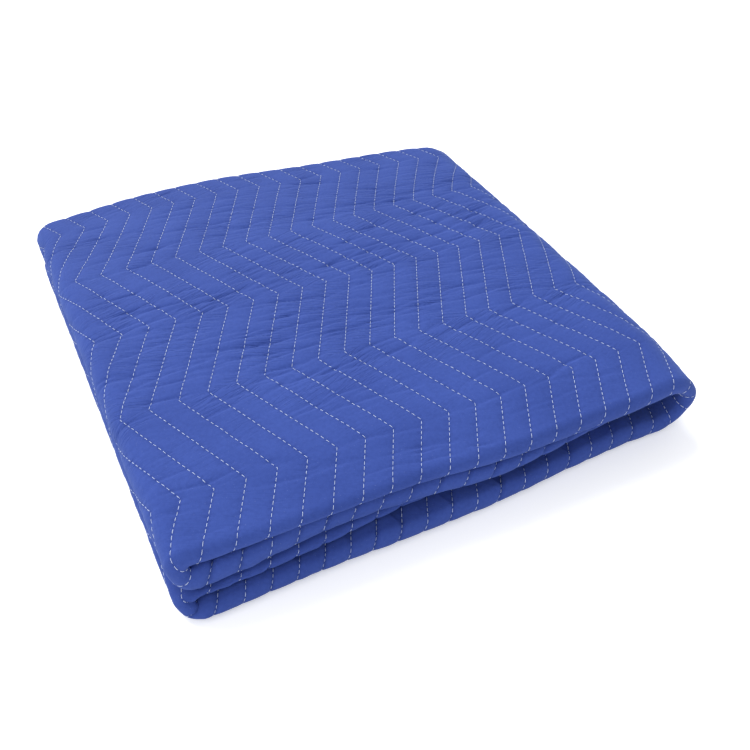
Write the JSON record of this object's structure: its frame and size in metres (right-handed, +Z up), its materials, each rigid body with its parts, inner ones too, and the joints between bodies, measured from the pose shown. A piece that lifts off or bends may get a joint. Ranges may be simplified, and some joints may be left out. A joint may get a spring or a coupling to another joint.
{
  "type": "moving blanket",
  "caption": "Quilted moving blanket with zigzag stitching, folded flat into a square stack of soft layers for storing or carrying.",
  "frame": {"origin": "centre of the bounding box on the surface that the stack rests on", "axes": "+Z up, +X to the right along the long front folds, +Y to the back, where the cloth's free long edges are"},
  "size_m": [0.5246, 0.517, 0.0775],
  "materials": {
    "quilted_cloth": "matte",
    "binding": "matte"
  },
  "bodies": {
    "root": {"blanket": "quilted_cloth", "binding_long_middle": "binding", "binding_long_inner": "binding", "binding_end_upper": "binding", "binding_end_lower": "binding"}
  },
  "joints": []
}
